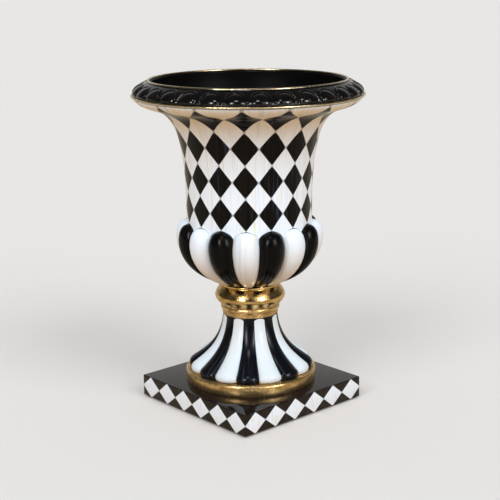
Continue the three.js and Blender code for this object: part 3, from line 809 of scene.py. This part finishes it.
def makeCollar(s):
    bead = cubic((s["beadFoot"], s["flangeTop"]), s["beadPull"], s["beadTopPull"],
                 (s["beadTop"], s["ringTop"]))
    bottom, edge, groove = s["ringBottom"], s["flangeEdge"], s["flangeGroove"]
    flange, middle = s["flange"], (s["ringBottom"] + s["flangeTop"]) / 2
    section = [(s["ringBore"], bottom), (flange - edge, bottom), (flange, bottom + edge),
               (flange, middle - groove), (flange - groove / 2, middle - groove / 3),
               (flange - groove / 2, middle + groove / 3), (flange, middle + groove),
               (flange, s["flangeTop"] - edge), (flange - edge, s["flangeTop"])]
    section += pointsOn(bead, s["beadSteps"])[1:] + [(s["ringBore"], s["ringTop"])]
    piece = turnedPiece("collarBeadRing", section, s["sides"], mottledGilt, s["sharpAngle"])
    standFor(piece, "gilt_metal", "collar_bead_ring")

    neckTop, fillet, pull = (s["neck"], s["neckTop"]), s["fillet"], s["filletSidePull"]
    lower = cubic((s["neck"], s["knopBottom"]), s["lowerPull"], (0, -s["widestPull"]), s["widest"])
    upper = cubic(s["widest"], (0, s["widestPull"]), s["upperPull"], s["rollTop"])
    cove = cubic(s["rollTop"], s["coveTopPull"], s["coveFootPull"], neckTop)
    filletFoot = cubic(neckTop, s["filletFootPull"], (0, -pull), (fillet, s["filletBottom"]))
    filletHead = cubic((fillet, s["filletTop"] - s["filletEdge"]), (0, pull), (pull, 0),
                       (fillet - s["filletFlat"], s["top"]))
    section = pointsOn(lower, s["lowerSteps"]) + pointsOn(upper, s["upperSteps"])[1:]
    section += pointsOn(cove, s["coveSteps"])[1:] + pointsOn(filletFoot, s["filletSteps"])[1:]
    section += pointsOn(filletHead, s["filletSteps"])
    section += [(s["bore"], s["top"]), (s["bore"], s["knopBottom"])]
    piece = turnedPiece("collarKnop", section, s["sides"], polishedGilt, s["sharpAngle"])
    standFor(piece, "gilt_metal", "collar_knop")


makeCollar(collar)
print("collar made")


# pedestal: a ribbed skirt drawn by rule in Geometry Nodes

skirt = {"wall": 2.5, "curveSteps": 200, "weld": 0.02, "sharpAngle": 50}


def ribbedSkirtTree(s):
    kinds = {int: "Int", float: "Float", tuple: "Vector"}
    inputs = {label: kinds[type(value)] for label, value in s.items()}
    tree, given = geometryTree("ribbedSkirt", {**inputs, "Finish": "Material"})

    def skirtPart(start, startPull, endPull, end, steps, settled):
        curve = addNode(tree, "CurvePrimitiveBezierSegment", Resolution=skirt["curveSteps"],
                        Start=start, Start_Handle=startPull, End_Handle=endPull, End=end)
        grid = addNode(tree, "MeshGrid", Vertices_X=calc(tree, "ADD", given["Sides"], 1),
                       Vertices_Y=calc(tree, "ADD", steps, 1))
        x, y = splitXyz(tree, addNode(tree, "InputPosition").outputs[0])[:2]
        u, v = calc(tree, "ADD", x, 0.5), calc(tree, "ADD", y, 0.5)
        sample = tree.nodes.new("GeometryNodeSampleCurve")
        sample.mode = "FACTOR"
        feed(tree, sample.inputs["Curves"], curve.outputs[0])
        feed(tree, sample.inputs["Factor"], v)
        radius, height = splitXyz(tree, sample.outputs["Position"])[:2]
        alongR, alongZ = splitXyz(tree, sample.outputs["Tangent"])[:2]
        across = acrossPart(tree, calc(tree, "MULTIPLY", u, given["Rib Count"]))
        rest = calc(tree, "SUBTRACT", 1, calc(tree, "MULTIPLY", across, across))
        back = calc(tree, "POWER", calc(tree, "MAXIMUM", rest, 0), given["Fullness"])
        share = calc(tree, "DIVIDE", calc(tree, "SUBTRACT", radius, given["Top Radius"]),
                     calc(tree, "SUBTRACT", given["Toe Radius"], given["Top Radius"]))
        reach = blend(tree, share, given["Top Depth"], given["Rib Depth"])
        sunk = calc(tree, "MULTIPLY", reach, calc(tree, "SUBTRACT", 1, back))
        # at the very toe the valleys go straight inward, by part of their depth
        settle = calc(tree, "MINIMUM", calc(tree, "ADD", v, settled), 1)
        sunk = calc(tree, "MULTIPLY", sunk, blend(tree, settle, given["Toe Cut"], 1))
        inR = calc(tree, "MULTIPLY", sunk, blend(tree, settle, 1, alongZ))
        inZ = calc(tree, "MULTIPLY", sunk, calc(tree, "MULTIPLY", settle, alongR))
        outR = calc(tree, "MULTIPLY", calc(tree, "SUBTRACT", radius, inR), metre)
        outZ = calc(tree, "ADD", height, inZ)
        outZ = calc(tree, "MINIMUM", outZ, splitXyz(tree, given["Top"])[1])
        angle = calc(tree, "MULTIPLY", u, fullTurn)
        place = joinXyz(tree, calc(tree, "MULTIPLY", outR, calc(tree, "COSINE", angle)),
                        calc(tree, "MULTIPLY", outR, calc(tree, "SINE", angle)),
                        calc(tree, "MULTIPLY", outZ, metre))
        return addNode(tree, "SetPosition", Geometry=grid.outputs["Mesh"], Position=place)

    toe = skirtPart(given["Toe"], given["Toe Pull"], given["End Pull"], given["End"],
                    given["Toe Steps"], 0)
    flank = skirtPart(given["End"], given["Skirt Pull"], given["Waist Pull"], given["Top"],
                      given["Flank Steps"], 1)
    both = addNode(tree, "JoinGeometry")
    tree.links.new(toe.outputs[0], both.inputs[0])
    tree.links.new(flank.outputs[0], both.inputs[0])
    real = addNode(tree, "RealizeInstances", Geometry=both.outputs[0])
    joined = addNode(tree, "MergeByDistance", Geometry=real.outputs[0],
                     Distance=skirt["weld"] * metre)
    finished = addNode(tree, "SetMaterial", Geometry=joined.outputs[0], Material=given["Finish"])
    tree.links.new(finished.outputs[0], tree.nodes.new("NodeGroupOutput").inputs[0])
    return tree


def makePedestal(s):
    mesh = bpy.data.meshes.new("pedestalShell")
    piece = makePiece("pedestalShell", mesh, [], skirt["sharpAngle"])
    useTree(piece, ribbedSkirtTree(s), {**s, "Finish": ribEnamel})
    wall = piece.modifiers.new("wall", "SOLIDIFY")
    wall.thickness = skirt["wall"] * metre
    wall.offset = -1
    applyModifiers(piece)
    smoothFaces(piece, skirt["sharpAngle"])
    standFor(piece, "striped_enamel", "pedestal_shell")


makePedestal(pedestal)
print("pedestal made")


# base ring and plinth

baseRing = {
    "bottom": 44.3, "foot": 123.4, "footPull": (2, 3), "sidePull": (0.9, -8), "edge": (126.1, 61.0),
    "lipPull": (0, 3.6), "crownPull": (2.4, 0), "crown": (122.4, 66.9), "groove": (120.4, 66.0),
    "shelf": (119.6, 66.6), "bore": 104.0, "sides": 240, "coveTopPull": (-0.9, 0),
    "covePull": (0.5, 0), "sideSteps": 20, "lipSteps": 14, "coveSteps": 5, "sharpAngle": 35,
}


def makeBaseRing(s):
    side = cubic((s["foot"], s["bottom"]), s["footPull"], s["sidePull"], s["edge"])
    lip = cubic(s["edge"], s["lipPull"], s["crownPull"], s["crown"])
    cove = cubic(s["crown"], s["coveTopPull"], s["covePull"], s["groove"])
    section = pointsOn(side, s["sideSteps"]) + pointsOn(lip, s["lipSteps"])[1:]
    section += pointsOn(cove, s["coveSteps"])[1:]
    section += [s["shelf"], (s["bore"], s["shelf"][1]), (s["bore"], s["bottom"])]
    piece = turnedPiece("baseRing", section, s["sides"], mottledGilt, s["sharpAngle"])
    standFor(piece, "gilt_metal", "base_ring")


makeBaseRing(baseRing)


def makePlinth(s):
    half, edge = s["side"] / 2 * metre, s["edge"] * metre
    bottom, top = s["bottom"] * metre, s["top"] * metre
    shape = bmesh.new()
    bmesh.ops.create_cube(shape, size=1)
    for v in shape.verts:
        v.co = Vector((v.co.x * 2 * half, v.co.y * 2 * half, bottom if v.co.z < 0 else top))
    under = [f for f in shape.faces if f.normal.z < -0.5]
    bmesh.ops.inset_region(shape, faces=under, thickness=s["wall"] * metre)
    lifted = bmesh.ops.extrude_face_region(shape, geom=under)["geom"]
    height = top - bottom - s["topThickness"] * metre
    moved = [v for v in lifted if isinstance(v, bmesh.types.BMVert)]
    bmesh.ops.translate(shape, vec=(0, 0, height), verts=moved)
    bmesh.ops.delete(shape, geom=under, context="FACES")
    outer = [e for e in shape.edges
             if all(max(abs(v.co.x), abs(v.co.y)) > half - edge / 100 for v in e.verts)]
    bmesh.ops.bevel(shape, geom=outer, offset=edge, segments=s["edgeSteps"], profile=0.5,
                    affect="EDGES")
    bmesh.ops.recalc_face_normals(shape, faces=shape.faces)
    mesh = bpy.data.meshes.new("plinthShell")
    shape.to_mesh(mesh)
    shape.free()
    piece = makePiece("plinthShell", mesh, [plinthEnamel], s["sharpAngle"])
    standFor(piece, "plinth_enamel", "plinth_shell")


makePlinth(plinth)
print("base made")


# drain plug, and finishes for the pieces kept as they are

plug = {
    "sides": 64, "sharpAngle": 35,
    # radius, and height over the bowl's floor: stem, head and tab
    "stem": [(0.2, -4.0), (6.5, -4.0), (7.1, -3.4), (7.5, 0.3)],
    "head": [(10.7, 0.3), (11.0, 0.7), (11.0, 3.3), (10.6, 4.0), (9.8, 4.3)],
    "tab": [(5.0, 4.3), (4.2, 4.8), (4.0, 6.0), (4.0, 9.2), (3.6, 10.0), (2.8, 10.3), (0.2, 10.3)],
}


def makePlug(s):
    section = s["stem"] + s["head"] + s["tab"]
    angles = circleAngles(s["sides"])
    mesh = meshFromRows("drainPlug", [plainRow(angles, p) for p in section], angles, False)
    mesh.transform(Matrix.Translation(drainPlace(bowl["floor"])))
    closing = bmesh.new()
    closing.from_mesh(mesh)
    bmesh.ops.holes_fill(closing, edges=closing.edges, sides=0)
    bmesh.ops.recalc_face_normals(closing, faces=closing.faces)
    closing.to_mesh(mesh)
    closing.free()
    piece = makePiece("drainPlug", mesh, [greyRubber], s["sharpAngle"])
    standFor(piece, "rubber", "drain_plug", body="plug")


makePlug(plug)

for name, node in nodes.items():
    if not node.hide_render:
        soft = name.startswith(("foot", "sealing"))
        finish = blackRubber if soft else fibreBoard if name == "plinth_baseboard" else zincSteel
        node.data.materials.clear()
        node.data.materials.append(finish)
print("plug and fixings made")


# camera: place in metres, focal length and frame in pixels

view = {
    "distance": 2.2070, "height": 0.8419, "bearing": math.radians(-41.94), "yaw": 0.0003,
    "pitch": math.radians(13.875), "roll": math.radians(-0.5838), "focal": 1191.88, "frame": 500,
}
turnToView = Matrix.Rotation(view["bearing"] + math.pi / 2, 3, "Z")


def makeCamera(s):
    flat = math.cos(s["pitch"])
    ahead = turnToView @ Vector((
        math.sin(s["yaw"]) * flat, math.cos(s["yaw"]) * flat, -math.sin(s["pitch"])))
    right = ahead.cross(Vector((0, 0, 1))).normalized()
    up = right.cross(ahead)
    tiltedRight = right * math.cos(s["roll"]) + up * math.sin(s["roll"])
    tiltedUp = up * math.cos(s["roll"]) - right * math.sin(s["roll"])
    data = bpy.data.cameras.new("photoView")
    data.lens = s["focal"] / s["frame"] * data.sensor_width
    camera = bpy.data.objects.new("photoView", data)
    rotation = Matrix((tiltedRight, tiltedUp, -ahead)).transposed()
    stand = turnToView @ Vector((0, -s["distance"], s["height"]))
    camera.matrix_world = Matrix.Translation(stand) @ rotation.to_4x4()
    scene.collection.objects.link(camera)
    scene.camera = camera


makeCamera(view)

# studio: pale floor, metres wide, pale surround, soft sky light, warm light from below

studio = {
    "paleFloor": (0.835, 0.700, 0.590, 1), "warmFloor": (0.57, 0.29, 0.10, 1),
    "metalFloor": (0.60, 0.45, 0.30, 1), "floorSize": 80, "floorCells": 8,
    "pale": (0.81, 0.81, 0.80, 1),
    "sky": (0.84, 0.98, 1.14, 1), "horizon": 0.98, "zenith": 0.45,
    "reflectedBehind": 0.70, "reflectedBefore": 0.08, "behindFrom": 0.45, "behindTo": 0.95,
}
# half width and level of each upright softbox; bearings and heights are in degrees
softboxes = {
    "left": {"bearing": -28, "glow": (11, 1.8)},
    "right": {"bearing": 42, "glow": (20, 2.0)},
}
softbox = {
    "core": (4.5, 22.0), "glowHeights": (4, 44), "coreHeights": (12, 34),
    "sideSoftness": 0.3, "endSoftness": 0.06, "facingEdge": 0.2,
    "lampHeight": 40, "strength": 1.3, "angle": math.radians(36), "colour": (0.82, 0.98, 1.16),
}
overhead = {"bearing": -8, "height": 62, "level": 10.0, "inner": 5, "outer": 8}


def softboxDirection(box, height):
    side, lift = math.radians(box["bearing"]), math.radians(height)
    flat = math.cos(lift)
    return turnToView @ Vector((math.sin(side) * flat, -math.cos(side) * flat, math.sin(lift)))


def makeFloor(s):
    shape = bmesh.new()
    cells = s["floorCells"]
    bmesh.ops.create_grid(shape, x_segments=cells, y_segments=cells, size=s["floorSize"] / 2)
    mesh = bpy.data.meshes.new("paleFloor")
    shape.to_mesh(mesh)
    shape.free()
    floor = bpy.data.objects.new("paleFloor", mesh)
    scene.collection.objects.link(floor)
    material, tree, shader = startMaterial("paleFloor", Roughness=1.0, Specular_IOR_Level=0.0)
    seen = tree.nodes.new("ShaderNodeLightPath").outputs
    direct = calc(tree, "MAXIMUM", seen["Is Camera Ray"], seen["Is Transmission Ray"])
    colour = mixColour(tree, seen["Is Glossy Ray"], s["warmFloor"], s["metalFloor"])
    feed(tree, shader.inputs["Base Color"], mixColour(tree, direct, colour, s["paleFloor"]))
    mesh.materials.append(material)


def makeWorld(s):
    world = bpy.data.worlds.new("studio")
    scene.world = world
    world.use_nodes = True
    tree = world.node_tree
    background = tree.nodes["Background"]
    seen = tree.nodes.new("ShaderNodeLightPath").outputs
    place = tree.nodes.new("ShaderNodeTexCoord").outputs["Generated"]
    x, y, z = splitXyz(tree, place)

    def facing(direction):
        total = calc(tree, "MULTIPLY", x, direction.x)
        total = calc(tree, "MULTIPLY_ADD", y, direction.y, total)
        return calc(tree, "MULTIPLY_ADD", z, direction.z, total)

    sky = blend(tree, calc(tree, "MAXIMUM", z, 0), s["horizon"], s["zenith"])
    # shiny surfaces show the pale surround, dimmer overhead and before, and the softboxes
    behind = facing(turnToView @ Vector((0, 1, 0)))
    behind = between(tree, behind, s["behindFrom"], s["behindTo"])
    shown = blend(tree, behind, s["reflectedBefore"], s["reflectedBehind"])
    side, end = softbox["sideSoftness"], softbox["endSoftness"]
    for box in softboxes.values():
        ahead = softboxDirection(box, 0)
        aside = calc(tree, "ABSOLUTE", facing(ahead.cross(Vector((0, 0, 1)))))
        before = between(tree, facing(ahead), 0, softbox["facingEdge"])
        for (width, level), heights in ((box["glow"], softbox["glowHeights"]),
                                        (softbox["core"], softbox["coreHeights"])):
            edge, low, high = np.sin(np.radians([width, *heights])).tolist()
            across = between(tree, aside, edge * (1 + side), edge * (1 - side))
            above = between(tree, z, low - end, low + end)
            below = between(tree, z, high + end, high - end)
            glow = calc(tree, "MULTIPLY", calc(tree, "MULTIPLY", before, across), above)
            glow = calc(tree, "MULTIPLY", glow, below)
            shown = calc(tree, "MULTIPLY_ADD", glow, level, shown)
    # a small round lamp overhead gives the rim its glints
    lamp = facing(softboxDirection(overhead, overhead["height"]))
    inner, outer = (math.cos(math.radians(overhead[k])) for k in ("inner", "outer"))
    lamp = between(tree, lamp, outer, inner)
    shown = calc(tree, "MULTIPLY_ADD", lamp, overhead["level"], shown)
    clear = calc(tree, "MAXIMUM", seen["Is Camera Ray"], seen["Is Transmission Ray"])
    strength = blend(tree, seen["Is Glossy Ray"], sky, shown)
    strength = blend(tree, clear, strength, 1.0)
    direct = calc(tree, "MAXIMUM", clear, seen["Is Glossy Ray"])
    feed(tree, background.inputs["Color"], mixColour(tree, direct, s["sky"], s["pale"]))
    feed(tree, background.inputs["Strength"], strength)


def makeLights():
    for name, box in softboxes.items():
        data = bpy.data.lights.new(name, "SUN")
        data.energy = softbox["strength"]
        data.angle = softbox["angle"]
        data.color = softbox["colour"]
        light = bpy.data.objects.new(name, data)
        light.visible_glossy = False  # the surround shows the reflection
        light.rotation_mode = "QUATERNION"
        toLamp = softboxDirection(box, softbox["lampHeight"])
        light.rotation_quaternion = toLamp.to_track_quat("Z", "Y")
        scene.collection.objects.link(light)


makeFloor(studio)
makeWorld(studio)
makeLights()
scene.view_settings.view_transform = "Standard"
print("studio made")
